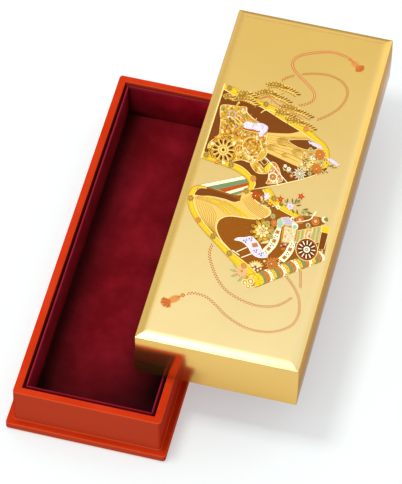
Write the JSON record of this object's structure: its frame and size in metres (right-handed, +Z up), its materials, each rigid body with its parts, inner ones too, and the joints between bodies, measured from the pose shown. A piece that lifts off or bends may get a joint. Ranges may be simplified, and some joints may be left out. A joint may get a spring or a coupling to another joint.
{
  "type": "pen box",
  "caption": "Long shallow lacquered box for pens or brushes, lined with cloth, on a low foot, with a hollow lift-off lid laid across its open top.",
  "frame": {"origin": "middle of the box's flat underside, on the surface that the box stands on", "axes": "+Z up; +Y along the box's length, away from the viewer; +X across it, to the side on which the lid lies"},
  "size_m": [0.1874, 0.3288, 0.0777],
  "materials": {
    "vermilion_lacquer": "vermilion lacquer, brushed thin and polished to a wet gloss",
    "gold_lacquer": "fine gold powder under clear lacquer, satin, with a painted picture on the top",
    "lining_cloth": "burgundy short-pile cloth over card"
  },
  "bodies": {
    "root": {"base_box": "vermilion_lacquer", "lid": "gold_lacquer", "lining_floor": "lining_cloth", "lining_left": "lining_cloth", "lining_right": "lining_cloth", "lining_front": "lining_cloth", "lining_back": "lining_cloth"}
  },
  "joints": []
}
